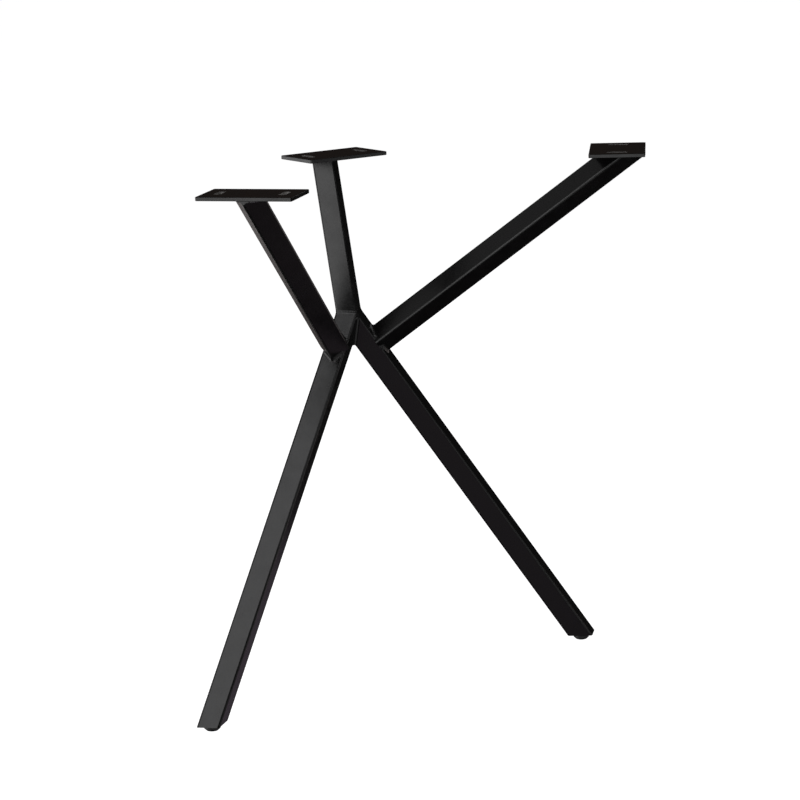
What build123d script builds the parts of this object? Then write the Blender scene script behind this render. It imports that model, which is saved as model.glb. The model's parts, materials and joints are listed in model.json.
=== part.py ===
# Y-shaped table leg: a welded frame of square tube with three slotted top plates and two levelling feet
import os
from math import asin, cos, pi, radians, sin, tan

from build123d import *

# Overall layout in millimetres, measured to the axes of the tubes
HEIGHT = 720.0  # floor to the top of the plates
HUB_HEIGHT = 500.0  # floor to the point where both legs and the rear arm meet
FOOT_HALF_SPREAD = 310.0  # middle plane to each leg's lower end
FOOT_FORWARD = 107.0  # hub to the legs' lower ends, towards the front
REAR_ARM_LEAN = 48.0  # hub to the rear arm's top, towards the back
SIDE_ARM_HALF_SPREAD = 297.0  # middle plane to each side arm's top
SIDE_ARM_FORWARD = 237.0  # hub to the side arms' tops, towards the front
SIDE_ARM_DROP = 54.0  # hub to the side arm's root, along the leg

# Square tube
TUBE_SIDE = 30.0
TUBE_WALL = 2.0
TUBE_CORNER = 3.0  # outer corner radius

# Top plates
PLATE_LENGTH = 124.0
PLATE_WIDTH = 75.0
PLATE_THICK = 5.0
PLATE_CORNER = 1.5  # bevel of the plate's four corners
PLATE_EDGE = 0.5  # bevel of the plate's outer edges
SLOT_SPACING = 84.0
SLOT_LENGTH = 28.0
SLOT_WIDTH = 9.0
SIDE_PLATE_SET_IN = 10.0  # plate centre to the arm's axis, towards the hub
REAR_PLATE_SET_IN = 25.0
SIDE_TIP_BEVEL = 0.0  # degrees that the trim of the tube's tip leans from upright
REAR_TIP_BEVEL = 45.0

# Welds
PLATE_BEAD = 3.0
ARM_BEAD = 4.0
ARM_BEAD_LAP = 0.2  # how far the arm's bead stands proud of the leg's sides
CROTCH_RADIUS = 4.5  # hollow of the fillet between the legs
CROTCH_STEPS = 2  # flats on each half of that hollow
BEAD_ROOT = 1.0  # depth under the tube's surface that a bead's toe runs out to
END_FILL = 2.0  # weld metal that closes the open corners of the tube ends
CORNER_FLATS = 2  # flats that a bead takes round each corner of the tube

# Levelling feet
FOOT_GAP = 1.0  # tube end to pad, screwed right in
PAD_DIAMETER = 22.0
PAD_BASE_DIAMETER = 16.0
PAD_HEIGHT = 7.0
PAD_TAPER = 3.0  # height of the tapered base
PAD_RIM = 0.8  # bevel of the upper rim
PAD_SOCKET = 5.0  # depth that the stud is moulded in
STUD_DIAMETER = 8.0
STUD_RISE = 17.0  # stud above the lower end of the tube
STUD_POINT = 0.8
STUD_CLEARANCE = 0.08  # radial, in the nut and in the pad
NUT_ACROSS_FLATS = 13.0
NUT_HEIGHT = 6.5
END_PLATE_THICK = 3.0
END_PLATE_HOLE = 9.0

SPARE = 60.0  # extra tube length that the end cuts take off
SIDES = {"left": -1, "right": 1}
UP = Vector(0, 0, 1)
HUB = Vector(0, 0, HUB_HEIGHT)
SEAT_HEIGHT = HEIGHT - PLATE_THICK
TUBE_END = PAD_HEIGHT + FOOT_GAP
HALF_TUBE = TUBE_SIDE / 2


def mirrored(vector, normal):
    """The vector reflected in a plane through the origin."""
    return vector - normal * (2 * vector.dot(normal))


def on_edge(axis):
    """Direction of one tube side when the tube stands on its edge in the upright plane of its axis."""
    level = UP.cross(axis).normalized()
    return (level + axis.cross(level)).normalized()


def kept_below(body, point, normal):
    """What is left of a body on the side of a plane that its normal points away from."""
    return split(body, bisect_by=Plane(origin=point, z_dir=normal), keep=Keep.BOTTOM)


def flat_sided(rings):
    """A solid with flat sides through a row of rings, each with the same count of corners."""
    loops = [rings[0], rings[-1]]
    for near, far in zip(rings, rings[1:]):
        for corner in range(len(near)):
            loops.append([near[corner - 1], near[corner], far[corner], far[corner - 1]])
    return Part() + Solid(Shell([make_face(Polyline(*loop, close=True)) for loop in loops]))


class Tube:
    """One straight length of tube, from a start point to an end point, with spare length to cut off."""

    def __init__(self, start, end, side_direction=None):
        self.start, self.end = start, end
        self.axis = (end - start).normalized()
        self.frame = Plane(origin=start, x_dir=side_direction or on_edge(self.axis), z_dir=self.axis)
        self.faces = [self.frame.x_dir, self.frame.y_dir, -self.frame.x_dir, -self.frame.y_dir]
        self.outside = self.bar(TUBE_SIDE, TUBE_CORNER)
        self.inside = self.bar(TUBE_SIDE - 2 * TUBE_WALL, TUBE_CORNER - TUBE_WALL)
        self.body = self.outside - self.inside

    def bar(self, side, corner):
        """A rounded square bar along the axis, with spare length at both ends."""
        section = self.frame * Pos(0, 0, -SPARE) * RectangleRounded(side, side, corner)
        return extrude(section, amount=(self.end - self.start).length + 2 * SPARE)

    def ring(self, grow, point, normal):
        """Corners of the tube's outline, grown by a margin, where the tube passes a plane."""
        corners = []
        for quarter in range(4):
            across, along = self.faces[quarter], self.faces[(quarter + 1) % 4]
            centre = self.start + (across + along) * (HALF_TUBE - TUBE_CORNER)
            for flat in range(CORNER_FLATS + 1):
                angle = radians(90 * flat / CORNER_FLATS)
                corner = centre + (across * cos(angle) + along * sin(angle)) * (TUBE_CORNER + grow)
                travel = (point - corner).dot(normal) / self.axis.dot(normal)
                corners.append(corner + self.axis * travel)
        return corners

    def collar(self, grow_low, grow_high, low, high, normal):
        """A solid round the tube between two parallel planes, grown by a margin at each."""
        return flat_sided([self.ring(grow_low, low, normal), self.ring(grow_high, high, normal)])


class TopPlate:
    """A plate on the top of an arm, with the cuts and the weld that the arm gets there."""

    def __init__(self, arm, set_in, bevel):
        outwards = Vector(arm.axis.X, arm.axis.Y).normalized()
        self.arm = arm
        self.frame = Plane(origin=arm.end - outwards * set_in, x_dir=outwards.cross(UP), z_dir=UP)
        self.edge = self.frame.origin + outwards * (PLATE_WIDTH / 2)
        self.trim = outwards * cos(radians(bevel)) + UP * sin(radians(bevel))

    def blank(self, thick):
        """The plate's outline, as thick as asked, up or down from its underside."""
        outline = chamfer(Rectangle(PLATE_LENGTH, PLATE_WIDTH).vertices(), PLATE_CORNER)
        return extrude(self.frame * outline, amount=thick)

    def body(self):
        """The plate, with a slot across each end."""
        slot = SlotOverall(SLOT_LENGTH, SLOT_WIDTH, rotation=90)
        places = GridLocations(SLOT_SPACING, 0, 2, 1)
        slots = [extrude(self.frame * place * slot, amount=PLATE_THICK) for place in places]
        blank = self.blank(PLATE_THICK)
        rims = blank.edges().group_by(Axis.Z)
        return chamfer(rims[0] + rims[-1], PLATE_EDGE) - slots

    def cut(self, tube):
        """A tube cut level under the plate, with the tip that passes the plate's edge trimmed off."""
        return kept_below(kept_below(tube, self.frame.origin, UP), self.edge, self.trim)

    def weld(self):
        """The fillet round the arm, and the fill that closes the trimmed tip."""
        toe = self.frame.origin - UP * PLATE_BEAD
        bead = self.arm.collar(-BEAD_ROOT, PLATE_BEAD, toe, self.frame.origin, UP) & self.blank(-PLATE_BEAD)
        tip = self.cut(self.arm.inside)
        fill = tip - kept_below(tip, self.edge - self.trim * END_FILL, self.trim)
        return (bead - self.arm.outside) + fill


parts = {}

# Rear arm and its plate
rear_arm = Tube(HUB, Vector(0, REAR_ARM_LEAN, SEAT_HEIGHT))
rear_plate = TopPlate(rear_arm, REAR_PLATE_SET_IN, REAR_TIP_BEVEL)
parts["rear_plate"] = rear_plate.body()
parts["rear_plate_weld"] = rear_plate.weld()

# Legs: the rear arm's profile carried through each mitre, so that all edges meet at the hub
legs, mitres = {}, {}
for side, sign in SIDES.items():
    leg_end = Vector(sign * FOOT_HALF_SPREAD, -FOOT_FORWARD, TUBE_END)
    mitres[side] = (rear_arm.axis - (leg_end - HUB).normalized()).normalized()
    legs[side] = Tube(HUB, leg_end, mirrored(rear_arm.frame.x_dir, mitres[side]))
    leg_tube = kept_below(legs[side].body, HUB, Vector(-sign, 0, 0))
    leg_tube = kept_below(leg_tube, HUB, mitres[side])
    parts[f"{side}_leg_tube"] = kept_below(leg_tube, leg_end, -UP)

rear_tube = rear_plate.cut(rear_arm.body)
for mitre in mitres.values():
    rear_tube = kept_below(rear_tube, HUB, -mitre)
parts["rear_arm_tube"] = rear_tube

# Fillet in the crotch of the legs: outlines of one leg, set side by side to a hollow round
crotch = []
spread = asin(legs["right"].axis.X)
for step in range(-CROTCH_STEPS, CROTCH_STEPS + 1):
    turn = (pi / 2 - spread) * step / CROTCH_STEPS
    depth = CROTCH_RADIUS * (1 / sin(spread) - cos(turn))
    cut = Vector(depth * tan(spread), 0, 0)
    place = Vector(CROTCH_RADIUS * sin(turn), 0, 0)
    crotch.append([corner - cut + place for corner in legs["right"].ring(0, HUB + cut, Vector(1, 0, 0))])
parts["hub_weld"] = flat_sided(crotch) - legs["left"].outside - legs["right"].outside

# Side arms, coped over the outer faces of the legs
for side, sign in SIDES.items():
    leg = legs[side]
    root = HUB + leg.axis * SIDE_ARM_DROP
    arm = Tube(root, Vector(sign * SIDE_ARM_HALF_SPREAD, -SIDE_ARM_FORWARD, SEAT_HEIGHT))
    top = TopPlate(arm, SIDE_PLATE_SET_IN, SIDE_TIP_BEVEL)
    outer = max(leg.faces, key=arm.axis.dot)
    seat = root + outer * HALF_TUBE
    lap = seat - outer * TUBE_CORNER
    parts[f"{side}_arm_tube"] = top.cut(kept_below(arm.body, lap, -outer)) - leg.outside
    parts[f"{side}_plate"] = top.body()
    parts[f"{side}_plate_weld"] = top.weld()

    bead = arm.collar(ARM_BEAD, ARM_BEAD, lap, seat, outer)
    bead = bead + arm.collar(ARM_BEAD, -BEAD_ROOT, seat, seat + outer * ARM_BEAD, outer)
    across = leg.axis.cross(outer)
    for direction in (across, -across):
        bead = kept_below(bead, root + direction * (HALF_TUBE + ARM_BEAD_LAP), direction)
    plug = kept_below(kept_below(arm.inside, lap, -outer), lap + outer * END_FILL, outer)
    parts[f"{side}_arm_weld"] = (bead - arm.outside) + plug - leg.outside

# Levelling feet: a closed tube end with a weld nut, and a stud moulded into a round pad
stud_hole = STUD_DIAMETER / 2 + STUD_CLEARANCE
for side, leg in legs.items():
    centre = Vector(leg.end.X, leg.end.Y)
    end_top = leg.end + UP * END_PLATE_THICK
    end_plate = kept_below(kept_below(leg.inside, leg.end, -UP), end_top, UP)
    stud_gap = extrude(Pos(*leg.end) * Circle(END_PLATE_HOLE / 2), amount=END_PLATE_THICK)
    parts[f"{side}_end_plate"] = end_plate - stud_gap

    nut = Pos(*end_top) * RegularPolygon(NUT_ACROSS_FLATS / 2, 6, major_radius=False)
    nut_bore = Pos(*end_top) * Circle(stud_hole)
    parts[f"{side}_foot_nut"] = extrude(nut - nut_bore, amount=NUT_HEIGHT)

    stud_foot = centre + UP * (PAD_HEIGHT - PAD_SOCKET)
    stud = extrude(Pos(*stud_foot) * Circle(STUD_DIAMETER / 2), amount=TUBE_END + STUD_RISE - stud_foot.Z)
    parts[f"{side}_foot_stud"] = chamfer(stud.edges().sort_by(Axis.Z)[-1], STUD_POINT)

    profile = Polyline(
        (0, 0),
        (PAD_BASE_DIAMETER / 2, 0),
        (PAD_DIAMETER / 2, PAD_TAPER),
        (PAD_DIAMETER / 2, PAD_HEIGHT),
        (0, PAD_HEIGHT),
        close=True,
    )
    pad = revolve(Plane.XZ * make_face(profile), Axis.Z)
    pad = chamfer(pad.edges().group_by(Axis.Z)[-1], PAD_RIM)
    socket = Pos(0, 0, PAD_HEIGHT - PAD_SOCKET) * Circle(stud_hole)
    parts[f"{side}_foot_pad"] = Pos(*centre) * (pad - extrude(socket, amount=PAD_SOCKET))

# The origin is on the floor, under the middle of the whole leg
box = Compound(children=[Part(shape.wrapped) for shape in parts.values()]).bounding_box()
to_origin = Pos(0, -(box.min.Y + box.max.Y) / 2, 0)

os.makedirs("parts", exist_ok=True)
for name, shape in parts.items():
    export_step(to_origin * shape, f"parts/{name}.step")
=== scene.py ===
import json
import math

import bpy
import numpy as np
from mathutils import Matrix, Vector


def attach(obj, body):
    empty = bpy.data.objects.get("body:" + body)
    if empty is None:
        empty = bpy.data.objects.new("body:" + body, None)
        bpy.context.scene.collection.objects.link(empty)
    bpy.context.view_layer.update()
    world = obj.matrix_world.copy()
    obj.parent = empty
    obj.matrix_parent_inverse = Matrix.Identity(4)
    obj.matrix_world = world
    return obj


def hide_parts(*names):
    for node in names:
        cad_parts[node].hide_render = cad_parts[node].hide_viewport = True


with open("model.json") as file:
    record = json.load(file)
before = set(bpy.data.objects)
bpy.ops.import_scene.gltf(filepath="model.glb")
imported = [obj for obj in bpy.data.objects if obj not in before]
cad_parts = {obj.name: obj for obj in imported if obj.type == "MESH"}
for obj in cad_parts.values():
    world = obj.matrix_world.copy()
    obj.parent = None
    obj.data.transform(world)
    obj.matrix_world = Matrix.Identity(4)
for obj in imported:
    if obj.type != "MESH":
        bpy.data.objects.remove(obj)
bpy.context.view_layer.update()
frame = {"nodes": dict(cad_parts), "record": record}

scene = bpy.context.scene
print("frame loaded:", len(frame["nodes"]), "nodes")

# Square tubes of the frame, in metres: the ends of their axes, and the steps of their outline
tubePlan = {
    "half": 0.015, "corner": 0.003,
    "hub": (0.0, 0.11706, 0.500),
    "rearTop": (0.0, 0.16506, 0.715),
    "foot": (0.310, 0.01006, 0.008),
    "sideTop": (0.297, -0.11994, 0.715),
    "armDrop": 0.054,  # hub to the side arm's root, along the leg
    "cornerSteps": 25, "outlineSteps": 420,
}
up = np.array((0.0, 0.0, 1.0))


def unit(vectors):
    return vectors / np.linalg.norm(vectors, axis=-1, keepdims=True)


# A vector minus twice its part along the plane's normal
def mirrored(vectors, normal):
    return vectors - 2 * (vectors @ normal)[..., None] * normal


# Length along a row of points, from its first one
def pathLength(points):
    return np.concatenate(((0.0,), np.cumsum(np.linalg.norm(np.diff(points, axis=0), axis=1))))


# Axis and sides of a tube that stands on its edge, unless a side is given
def tubeLine(start, end, side=None):
    axis = unit(end - start)
    if side is None:
        level = unit(np.cross(up, axis))
        side = unit(level + np.cross(axis, level))
    return {"start": start, "axis": axis, "x": side, "y": np.cross(axis, side)}


# Rounded square at even steps of its length: four quarter circles, joined by the flats between them.
# Gives the points and the outward normals, both in the tube's section
def tubeOutline(p):
    angle = np.radians(np.arange(4)[:, None] * 90.0 + np.linspace(0, 90, p["cornerSteps"]))
    normal = np.stack((np.cos(angle), np.sin(angle)), -1)
    middle = np.radians(np.arange(4) * 90.0 + 45.0)
    centre = np.stack((np.cos(middle), np.sin(middle)), -1) * math.sqrt(2) * (p["half"] - p["corner"])
    place = centre[:, None] + normal * p["corner"]
    loop = np.concatenate((place, normal), -1).reshape(-1, 4)
    loop = np.concatenate((loop, loop[:1]))
    length = pathLength(loop[:, :2])
    even = np.linspace(0, length[-1], p["outlineSteps"], endpoint=False)
    picked = np.stack([np.interp(even, length, column) for column in loop.T], -1)
    return picked[:, :2], unit(picked[:, 2:])


# A plate's middle and underside, and its reach along its arm's level direction, from its node in the frame
def platePlace(name, arm):
    node = frame["nodes"][f"{name}_plate"]
    points = np.array([node.matrix_world @ vertex.co for vertex in node.data.vertices])
    level = unit(arm["axis"] * (1, 1, 0))
    return {
        "middle": (points.min(axis=0) + points.max(axis=0)) / 2, "underside": points[:, 2].min(),
        "level": level, "reach": (points @ level).max(),
    }


hub, rearTop = np.array(tubePlan["hub"]), np.array(tubePlan["rearTop"])
rearArm = tubeLine(hub, rearTop)
sides = {"left": np.array((-1.0, 1.0, 1.0)), "right": np.array((1.0, 1.0, 1.0))}
legs, sideArms, mitres = {}, {}, {}
for side, turn in sides.items():
    foot = np.array(tubePlan["foot"]) * turn
    mitres[side] = unit(rearArm["axis"] - unit(foot - hub))
    legs[side] = tubeLine(hub, foot, mirrored(rearArm["x"], mitres[side]))
    root = hub + legs[side]["axis"] * tubePlan["armDrop"]
    sideArms[side] = tubeLine(root, np.array(tubePlan["sideTop"]) * turn)
arms = {"rear": rearArm, **sideArms}
plates = {name: platePlace(name, arm) for name, arm in arms.items()}
outline, outward = tubeOutline(tubePlan)
print("tube lines done")


# Shader maths: a socket that adds Math nodes when it is used in an expression
class Wire:
    def __init__(self, tree, socket):
        self.tree = tree
        self.socket = socket

    def math(self, operation, first, second):
        made = self.tree.nodes.new("ShaderNodeMath")
        made.operation = operation
        for entry, value in zip(made.inputs, (first, second)):
            if isinstance(value, Wire):
                self.tree.links.new(value.socket, entry)
            else:
                entry.default_value = value
        return Wire(self.tree, made.outputs[0])

    def __add__(self, other):
        return self.math("ADD", self, other)

    def __radd__(self, other):
        return self.math("ADD", other, self)

    def __sub__(self, other):
        return self.math("SUBTRACT", self, other)

    def __mul__(self, other):
        return self.math("MULTIPLY", self, other)

    def __rmul__(self, other):
        return self.math("MULTIPLY", other, self)

    def __abs__(self):
        return self.math("ABSOLUTE", self, 0.0)

    def root(self):
        return self.math("SQRT", self, 0.0)

    def between(self, low, high):
        return self.math("MINIMUM", self.math("MAXIMUM", self, low), high)


# One tree of nodes: any node comes from add(type, settings, sockets, its output)
class Tree:
    def __init__(self, owner):
        owner.use_nodes = True
        self.tree = owner.node_tree
        self.tree.nodes.clear()

    def add(self, kind, settings=None, sockets=None, out=0):
        made = self.tree.nodes.new(kind)
        for name, value in (settings or {}).items():
            setattr(made, name, value)
        for name, value in (sockets or {}).items():
            if isinstance(value, Wire):
                self.tree.links.new(value.socket, made.inputs[name])
            else:
                made.inputs[name].default_value = value
        return Wire(self.tree, made.outputs[out]) if made.outputs else made

    def noise(self, place, scale, detail):
        return self.add("ShaderNodeTexNoise", None, {"Vector": place, "Scale": scale, "Detail": detail})

    def parts(self, vector):
        split = self.add("ShaderNodeSeparateXYZ", None, {"Vector": vector}).socket.node
        return [Wire(self.tree, socket) for socket in split.outputs]

    # The colour sockets of a Mix node come after those for numbers and vectors
    def blend(self, share, first, second):
        return self.add("ShaderNodeMix", {"data_type": "RGBA"}, {0: share, 6: first, 7: second}, 2)

    # Bump, shader and output of a finish
    def finish(self, colour, rough, metallic, height):
        bump = self.add("ShaderNodeBump", None, {"Height": height, "Distance": 1.0})
        shader = self.add("ShaderNodeBsdfPrincipled", None, {
            "Base Color": colour, "Roughness": rough, "Metallic": metallic, "Normal": bump})
        self.add("ShaderNodeOutputMaterial", None, {"Surface": shader})


noiseMiddle = 0.5  # a noise node's values lie evenly about this

# Satin black powder coat: faint mottling, orange peel and fine grain
powderCoat = {
    "dark": (0.0042, 0.0041, 0.0042, 1.0),
    "light": (0.0062, 0.0060, 0.0061, 1.0),
    "roughness": 0.22, "roughnessSpread": 0.14,
    "mottleScale": 55.0, "mottleDetail": 3.0,  # features of about 20 mm
    "peelScale": 620.0, "peelHeight": 0.000026,  # orange peel of about 1.6 mm
    "grainScale": 2600.0, "grainHeight": 0.000002,  # grain of about 0.4 mm
    "fineDetail": 1.0,
}

# Plates: painted highlight on the slots' walls, which get a lighter, half-metallic steel grey and more
# roughness in place of the glints of light there
slotWallHighlight = {
    "spacing": 0.084, "straight": 0.0095, "radius": 0.0045,  # the slot's length is twice straight and radius
    "edgeWidth": 0.0003, "highlightGrey": (0.30, 0.29, 0.28, 1.0), "roughnessRise": 0.12, "metallic": 0.5,
}

# Bright zinc on the nuts and studs: faint bluish and straw patches, fine drawn grain
zincPlate = {
    "tones": ((0.50, 0.53, 0.57, 1.0), (0.60, 0.57, 0.49, 1.0)), "metallic": 1.0,
    "roughness": 0.28, "roughnessSpread": 0.14,
    "patchScale": 240.0, "patchDetail": 3.0,
    "grainScale": 3000.0, "grainDetail": 2.0, "grainHeight": 0.000006,
}

# Moulded black nylon of the foot pads: spark-eroded grain, cloudy in tone
padNylon = {
    "tones": ((0.010, 0.010, 0.0105, 1.0), (0.020, 0.020, 0.0205, 1.0)), "metallic": 0.0,
    "roughness": 0.42, "roughnessSpread": 0.12,
    "patchScale": 160.0, "patchDetail": 3.0,
    "grainScale": 1900.0, "grainDetail": 2.0, "grainHeight": 0.00003,
}


# 1 on the walls of a plate's two slots, 0 elsewhere, by the distance from the line along the slot's middle.
# This is the mask of the painted highlight on those walls.
# The plate's long side lies across its arm
def slotWalls(t, place, mottle, p, plate):
    x, y, _ = plate["middle"].tolist()
    turn = math.atan2(plate["level"][0], -plate["level"][1])
    centred = t.add("ShaderNodeMapping", {"vector_type": "TEXTURE"}, {
        "Vector": place, "Location": (x, y, 0.0), "Rotation": (0.0, 0.0, turn)})
    along, across, _ = t.parts(centred)
    sideways = abs(abs(along) - p["spacing"] / 2)
    lengthways = (abs(across) - p["straight"]).between(0.0, 1.0)
    distance = (sideways * sideways + lengthways * lengthways).root()
    reach = p["radius"] + p["edgeWidth"] * 2 * mottle - distance
    return (reach * (1 / p["edgeWidth"])).between(0.0, 1.0)


# Mottling sets the colour, mottling and peel the roughness, and peel and grain the height
def powderCoatMaterial(p, plate=None):
    material = bpy.data.materials.new(f"{plate or 'tube'}PowderCoat")
    t = Tree(material)
    place = t.add("ShaderNodeTexCoord", out="Object")
    mottle = t.noise(place, p["mottleScale"], p["mottleDetail"])
    peel = t.noise(place, p["peelScale"], p["fineDetail"])
    grain = t.noise(place, p["grainScale"], p["fineDetail"])
    colour = t.blend(mottle, p["dark"], p["light"])
    rough = (mottle + peel - 2 * noiseMiddle) * p["roughnessSpread"] + p["roughness"]
    metallic = 0.0
    # On a plate, painted highlight: the slots' walls are blended to a lighter steel grey, rougher and half
    # metallic
    if plate:
        wallHighlight = slotWalls(t, place, mottle, slotWallHighlight, plates[plate])
        colour = t.blend(wallHighlight, colour, slotWallHighlight["highlightGrey"])
        rough = rough + wallHighlight * slotWallHighlight["roughnessRise"]
        metallic = wallHighlight * slotWallHighlight["metallic"]
    t.finish(colour, rough, metallic, peel * p["peelHeight"] + grain * p["grainHeight"])
    return material


# Patches set the colour and the roughness, and the grain the height
def patchedMaterial(name, p):
    material = bpy.data.materials.new(name)
    t = Tree(material)
    place = t.add("ShaderNodeTexCoord", out="Object")
    patch = t.noise(place, p["patchScale"], p["patchDetail"])
    grain = t.noise(place, p["grainScale"], p["grainDetail"])
    rough = (patch - noiseMiddle) * p["roughnessSpread"] + p["roughness"]
    t.finish(t.blend(patch, *p["tones"]), rough, p["metallic"], grain * p["grainHeight"])
    return material


finishes = {
    "powder_coat": powderCoatMaterial(powderCoat),
    "zinc_steel": patchedMaterial("brightZinc", zincPlate),
    "pad_plastic": patchedMaterial("mouldedNylon", padNylon),
}
plateFinishes = {f"{name}_plate": powderCoatMaterial(powderCoat, name) for name in plates}
for row in frame["record"]["subparts"]:
    node = frame["nodes"][row["node"]]
    node.data.materials.clear()
    node.data.materials.append(plateFinishes.get(row["node"], finishes[row["material_slot"]]))
print("finishes done")

sharpAngle = math.radians(50)  # edges that bend more than this are shaded sharp


# Points of a tube's section, slid along its axis until they are at a height over a plane
def slidTo(tube, flat, height, normal):
    points = tube["start"] + flat[..., :1] * tube["x"] + flat[..., 1:] * tube["y"]
    travel = (height - points @ normal) / (tube["axis"] @ normal)
    return points + travel[..., None] * tube["axis"]


# The stretches of a closed outline where a mask is true, as rows of indices
def stretches(mask):
    first = np.flatnonzero(mask & ~np.roll(mask, 1))
    last = np.flatnonzero(mask & ~np.roll(mask, -1))
    for begin in first:
        end = min((stop - begin) % len(mask) for stop in last)
        yield (begin + np.arange(end + 1)) % len(mask)


# A closed mesh from rows of closed sections, its two ends capped.
# Faces are turned outwards by the sign of the volume
def sectionMesh(name, points):
    rows, columns = points.shape[:2]
    index = np.arange(rows * columns).reshape(rows, columns)
    beside = np.roll(index, -1, axis=1)
    quads = np.stack((index[:-1], beside[:-1], beside[1:], index[1:]), -1).reshape(-1, 4)
    flat = points.reshape(-1, 3)
    a, b, c, d = (flat - flat.mean(axis=0))[quads.T]
    volume = (a * (np.cross(b, c) + np.cross(c, d))).sum()
    faces = quads.tolist() + [index[0, ::-1].tolist(), index[-1].tolist()]
    if volume < 0:
        faces = [face[::-1] for face in faces]
    mesh = bpy.data.meshes.new(name)
    mesh.from_pydata(flat.tolist(), [], faces)
    mesh.shade_smooth()
    mesh.set_sharp_from_angle(angle=sharpAngle)
    return mesh


def addPiece(name, points, body, slot):
    piece = bpy.data.objects.new(name, sectionMesh(name, points))
    piece.data.materials.append(finishes[slot])
    scene.collection.objects.link(piece)
    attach(piece, body)
    return piece


# Fillet beads: laid in one pass, with soft crescents under the coat
plateBead = {
    "leg": 0.0032, "bulge": 0.0003, "sink": 0.0004,
    "ripple": 0.00006, "pitch": 0.0024, "bow": 0.55,
    "acrossSteps": 11, "endLength": 0.004,
    "edgeGap": 0.0015,  # left free before the plate's outer edge
}
armBead = {
    "leg": 0.0040, "bulge": -0.0005, "sink": 0.0004,
    "ripple": 0.00005, "pitch": 0.0026, "bow": 0.55,
    "acrossSteps": 13, "endLength": 0.0045,
    "reach": 0.0140,  # half of the leg's width that the bead covers
    "cornerShare": 0.98,  # of the leg's rounded edge that it may follow
}
endStop = 0.002  # share of a bead's end length where it stops, so that its last section keeps an area

# Weld metal in the arm's open foot, under the leg's face
armPlug = {"wall": 0.002, "low": 0.003, "high": 0.001, "flatLimit": 0.9999}


# Section of a bead at each step of its path, as growth off the tube and rise off the other face.
# Across the bead it is the line between its two toes, plus half a sine wave for its crown. The crown's
# crests come at even steps along the path, and lag towards the toes as crescents.
# Both ends run out in a quarter circle
def beadSections(p, along):
    across = np.linspace(0, 1, p["acrossSteps"])
    phase = along[:, None] / p["pitch"] + p["bow"] * (2 * across - 1) ** 2
    crown = p["bulge"] + p["ripple"] * np.cos(2 * np.pi * phase)
    fromEnd = np.minimum(along, along[-1] - along) / p["endLength"]
    fade = np.sqrt(1 - (1 - np.clip(fromEnd, endStop, 1)) ** 2)[:, None]
    crown = crown * np.sin(np.pi * across) * fade / math.sqrt(2)
    leg = p["leg"] * fade
    sunk = np.full_like(leg, -p["sink"])
    grow = np.concatenate((sunk, leg * across + crown, leg, sunk), 1)
    rise = np.concatenate((leg, leg * (1 - across) + crown, sunk, sunk), 1)
    return grow, rise


# A stretch of the tube's outline, moved out along its normals
def grownOutline(run, grow):
    return outline[run][:, None] + outward[run][:, None] * grow[..., None]


# Round the arm, under the plate: the outline grown off the tube, slid up the arm to its depth under the plate
def plateBeadPoints(p, arm, plate):
    top = slidTo(arm, outline, plate["underside"], up)
    for run in stretches(top @ plate["level"] < plate["reach"] - p["edgeGap"]):
        grow, rise = beadSections(p, pathLength(top[run]))
        yield slidTo(arm, grownOutline(run, grow), plate["underside"] - rise, up)


# The leg's face that an arm stands on: its outward normal, and its height along that normal
def armSeat(arm, leg):
    faces = np.array((leg["x"], leg["y"], -leg["x"], -leg["y"]))
    outer = faces[np.argmax(faces @ arm["axis"])]
    return outer, arm["start"] @ outer + tubePlan["half"]


# Round the arm's foot on the leg: the same growth, slid down the arm to the leg's face.
# Beyond its flat part that face drops along a quarter circle, its rounded edge
def armBeadPoints(p, arm, leg):
    outer, seat = armSeat(arm, leg)
    across = np.cross(leg["axis"], outer)
    foot = slidTo(arm, outline, seat, outer)
    corner = tubePlan["corner"]
    flatHalf = tubePlan["half"] - corner
    for run in stretches(np.abs((foot - arm["start"]) @ across) < p["reach"]):
        grow, rise = beadSections(p, pathLength(foot[run]))
        flat = grownOutline(run, grow)
        offset = np.abs((slidTo(arm, flat, seat, outer) - arm["start"]) @ across)
        beyond = np.clip(offset - flatHalf, 0, corner * p["cornerShare"])
        drop = corner - np.sqrt(corner ** 2 - beyond ** 2)
        yield slidTo(arm, flat, seat + rise - drop, outer)


# The corners of the arm's inner outline, slid to two depths under the leg's face
def armPlugPoints(p, arm, leg):
    outer, seat = armSeat(arm, leg)
    rounded = np.abs(outward).max(axis=1) < p["flatLimit"]
    inside = (outline - outward * p["wall"])[rounded]
    return np.stack([slidTo(arm, inside, seat - depth, outer) for depth in (p["low"], p["high"])])


for name, arm in arms.items():
    for number, points in enumerate(plateBeadPoints(plateBead, arm, plates[name])):
        addPiece(f"{name}PlateBead{number}", points, "frame", "powder_coat")
for name, arm in sideArms.items():
    pieces = {f"{name}ArmPlug": armPlugPoints(armPlug, arm, legs[name])}
    for number, points in enumerate(armBeadPoints(armBead, arm, legs[name])):
        pieces[f"{name}ArmBead{number}"] = points
    for pieceName, points in pieces.items():
        piece = addPiece(pieceName, points, "frame", "powder_coat")
        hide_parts(f"{name}_arm_weld")
print("fillet beads done")

# Mitre seams between the rear arm and the legs: dressed nearly flush, so they only just show
mitreSeam = {
    "width": 0.0032, "crown": 0.00035, "sink": 0.0005,
    "ripple": 0.00004, "pitch": 0.0022, "acrossSteps": 9,
}


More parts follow.
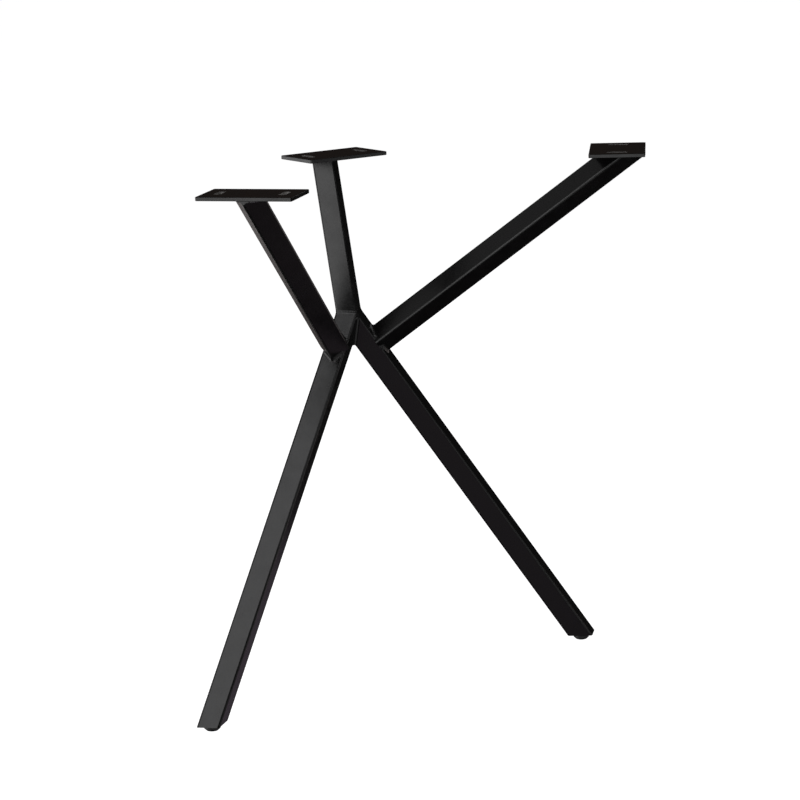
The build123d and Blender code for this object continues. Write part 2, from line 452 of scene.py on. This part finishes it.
# Along the mitre's outline, a low crown carried over both tubes: a parabola across the seam, rippled by a
# cosine along it. Each half of its width lies along its own tube
def mitreSeamPoints(p, leg, mitre, turn):
    line = slidTo(rearArm, outline, hub @ mitre, mitre)
    normal = outward[:, :1] * rearArm["x"] + outward[:, 1:] * rearArm["y"]
    normal = unit(normal + mirrored(normal, mitre))
    for run in stretches(line[:, 0] * turn[0] > 0):
        along = pathLength(line[run])[:, None]
        across = np.linspace(-1, 1, p["acrossSteps"])
        crown = (p["crown"] + p["ripple"] * np.cos(2 * np.pi * along / p["pitch"])) * (1 - across ** 2)
        under = np.full((len(run), 2), -p["sink"])
        lift = np.concatenate((crown, under), 1)
        over = np.concatenate((across, (1.0, -1.0))) * p["width"]
        slide = np.maximum(over, 0)[:, None] * rearArm["axis"] + np.maximum(-over, 0)[:, None] * leg["axis"]
        yield line[run][:, None] + slide + lift[..., None] * normal[run][:, None]


for name, leg in legs.items():
    for number, points in enumerate(mitreSeamPoints(mitreSeam, leg, mitres[name], sides[name])):
        addPiece(f"{name}MitreSeam{number}", points, "frame", "powder_coat")

# Hollow fillet in the crotch of the legs
crotchBead = {"radius": 0.0047, "ripple": 0.00007, "pitch": 0.0026, "acrossSteps": 15}


# Outlines of one leg, set side by side so that the lowest line of each follows a circle that touches both
# legs. The circle's radius is rippled by a cosine along the outline
def crotchPoints(p, leg):
    spread = math.asin(leg["axis"][0])
    turn = np.linspace(-1, 1, p["acrossSteps"])[:, None] * (math.pi / 2 - spread)
    girth = 8 * tubePlan["half"]
    along = np.arange(len(outline)) * (girth / len(outline))
    radius = p["radius"] + p["ripple"] * np.cos(2 * np.pi * along / p["pitch"]) * np.cos(turn)
    cut = (radius / math.sin(spread) - radius * np.cos(turn)) * math.tan(spread)
    flat = np.broadcast_to(outline, (len(turn),) + outline.shape)
    points = slidTo(leg, flat, cut, np.array((1.0, 0.0, 0.0)))
    points[..., 0] = radius * np.sin(turn)
    return points


addPiece("crotchBead", crotchPoints(crotchBead, legs["right"]), "frame", "powder_coat")
print("seams done")

# Threaded studs of the feet, in place of the plain ones
studThread = {
    "crest": 0.004, "depth": 0.00072, "pitch": 0.00125, "crestShare": 0.16,
    "low": 0.002, "high": 0.025, "point": 0.0009,
    "roundSteps": 48, "rowsPerTurn": 10,
}


# Radius round and up a stud: the crest, less a trapezoid wave that climbs one pitch a turn; its tip is a cone
def studPoints(p, centre):
    rows = int((p["high"] - p["low"]) / p["pitch"] * p["rowsPerTurn"]) + 1
    height = np.linspace(p["low"], p["high"], rows)[:, None]
    angle = np.linspace(0, 2 * np.pi, p["roundSteps"], endpoint=False)
    wave = np.abs(((height / p["pitch"] - angle / (2 * np.pi)) % 1.0) * 2 - 1)
    groove = np.clip((wave - p["crestShare"]) / (1 - 2 * p["crestShare"]), 0, 1)
    radius = p["crest"] - p["depth"] * groove
    radius = np.minimum(radius, p["crest"] - p["point"] + (p["high"] - height))
    x, y = centre[0] + radius * np.cos(angle), centre[1] + radius * np.sin(angle)
    return np.stack((x, y, np.broadcast_to(height, radius.shape)), -1)


for side, turn in sides.items():
    points = studPoints(studThread, np.array(tubePlan["foot"]) * turn)
    stud = addPiece(f"{side}Stud", points, f"{side}_foot", "zinc_steel")
    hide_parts(f"{side}_foot_stud")
print("studs done")


def grey(value):
    return (value, value, value, 1.0)


# Floor: pale, just under the feet turned fully out, and clear when seen from below
floorPlan = {"half": 40.0, "level": -0.0105, "shade": 0.5, "glow": 1.0}


def floorPiece(p):
    ends = (-p["half"], p["half"])
    corners = [(x, y, p["level"]) for y, xs in zip(ends, (ends, ends[::-1])) for x in xs]
    mesh = bpy.data.meshes.new("floor")
    mesh.from_pydata(corners, [], [(0, 1, 2, 3)])
    floor = bpy.data.objects.new("floor", mesh)
    scene.collection.objects.link(floor)
    material = bpy.data.materials.new("paleFloor")
    t = Tree(material)
    shader = t.add("ShaderNodeBsdfPrincipled", None, {
        "Base Color": grey(p["shade"]), "Roughness": 1.0, "Specular IOR Level": 0.0,
        "Emission Color": grey(1.0), "Emission Strength": p["glow"]})
    clear = t.add("ShaderNodeBsdfTransparent")
    below = t.add("ShaderNodeNewGeometry", out="Backfacing")
    either = t.add("ShaderNodeMixShader", None, {0: below, 1: shader, 2: clear})
    t.add("ShaderNodeOutputMaterial", None, {"Surface": either})
    mesh.materials.append(material)
    floor.visible_glossy = False
    floor.visible_diffuse = False
    floor.visible_shadow = False  # low soft boxes stand for the light that a white floor throws up


floorPiece(floorPlan)

# Studio light: a ring of soft boxes, brightest on the photo's left
white = (1.00, 1.00, 1.00)
softBoxes = {  # compass direction from the front, height angle, power, colour
    "key": (-66, 10, 15.0, white),
    "keyFront": (-32, -7, 9.0, white),
    "keySide": (-94, -9, 12.0, white),
    "keySideHigh": (-100, 32, 5.0, white),
    "keyHigh": (-62, 38, 12.5, (0.99, 0.99, 1.00)),
    "keyBackLow": (-120, -13, 14.0, white),
    "keyBackHigh": (-122, 45, 1.7, white),
    "backLeft": (-156, -2, 11.0, white),
    "back": (180, -13, 4.0, (1.00, 0.95, 0.94)),
    "backRight": (155, -16, 0.4, (1.00, 0.84, 0.80)),
    "backGlow": (146, 8, 0.10, (1.00, 0.62, 0.45)),
    "backHigh": (180, 52, 7.0, white),
    "sideLow": (90, -14, 5.0, (1.00, 0.90, 0.88)),
    "sideHigh": (102, 38, 7.0, white),
    "frontSide": (46, -6, 4.0, white),
    "frontSideHigh": (44, 48, 10.0, white),
    "front": (0, -13, 4.0, white),
    "frontHigh": (4, 36, 6.0, white),
    "floorFront": (-40, -40, 1.4, (1.00, 0.84, 0.96)),
    "floorFrontSide": (28, -40, 3.0, white),
    "floorSide": (90, -47, 0.35, (1.00, 0.80, 0.90)),
    "floorBackSide": (116, -40, 1.0, (1.00, 0.80, 1.00)),
    "floorBack": (146, -44, 4.0, white),
}
softBoxPlan = {"distance": 3.2, "size": 1.7, "aim": (0.0, 0.0, 0.4)}


def lightDirection(azimuth, elevation):
    a, e = math.radians(azimuth), math.radians(elevation)
    return Vector((math.sin(a) * math.cos(e), -math.cos(a) * math.cos(e), math.sin(e)))


for name, (azimuth, elevation, power, colour) in softBoxes.items():
    light = bpy.data.lights.new(name, "AREA")
    light.shape = "DISK"
    light.size, light.energy, light.color = softBoxPlan["size"], power, colour
    box = bpy.data.objects.new(name, light)
    away = lightDirection(azimuth, elevation)
    box.location = Vector(softBoxPlan["aim"]) + away * softBoxPlan["distance"]
    box.rotation_mode = "QUATERNION"
    box.rotation_quaternion = away.to_track_quat("Z", "Y")
    box.visible_camera = False
    scene.collection.objects.link(box)

# World: white to the camera, a dim warm fill to the part
worldPlan = {"shown": 1.0, "fill": 0.008, "fillColour": (1.0, 0.95, 0.94, 1.0)}


def studioWorld(p):
    world = bpy.data.worlds.new("studio")
    scene.world = world
    t = Tree(world)
    seen = t.add("ShaderNodeLightPath", out="Is Camera Ray")
    shown = t.add("ShaderNodeBackground", None, {"Color": grey(1.0), "Strength": p["shown"]})
    fill = t.add("ShaderNodeBackground", None, {"Color": p["fillColour"], "Strength": p["fill"]})
    both = t.add("ShaderNodeMixShader", None, {0: seen, 1: fill, 2: shown})
    t.add("ShaderNodeOutputWorld", None, {"Surface": both})


studioWorld(worldPlan)

# Camera at the photo's view
cameraPlan = {
    "yaw": 34.615, "pitch": 12.157, "roll": 1.846,  # degrees
    "distance": 3.7953, "focal": 2750.1, "imageWidth": 800.0,  # metres, pixels
    "aim": (0.0543, 0.0796, 0.3780),
    "sensor": 36.0,  # millimetres
}


def photoCamera(p):
    yaw, pitch, roll = (math.radians(p[k]) for k in ("yaw", "pitch", "roll"))
    forward = Vector((math.sin(yaw) * math.cos(pitch), math.cos(yaw) * math.cos(pitch), -math.sin(pitch)))
    right = Vector((math.cos(yaw), -math.sin(yaw), 0))
    down = forward.cross(right)
    across = right * math.cos(roll) + down * math.sin(roll)
    below = down * math.cos(roll) - right * math.sin(roll)
    data = bpy.data.cameras.new("photoCamera")
    data.sensor_width = p["sensor"]
    data.lens = p["focal"] / p["imageWidth"] * p["sensor"]
    camera = bpy.data.objects.new("photoCamera", data)
    turn = Matrix((across, -below, -forward)).transposed().to_4x4()
    camera.matrix_world = Matrix.Translation(Vector(p["aim"]) - forward * p["distance"]) @ turn
    scene.collection.objects.link(camera)
    scene.camera = camera


photoCamera(cameraPlan)
scene.view_settings.view_transform = "Standard"
print("studio done")
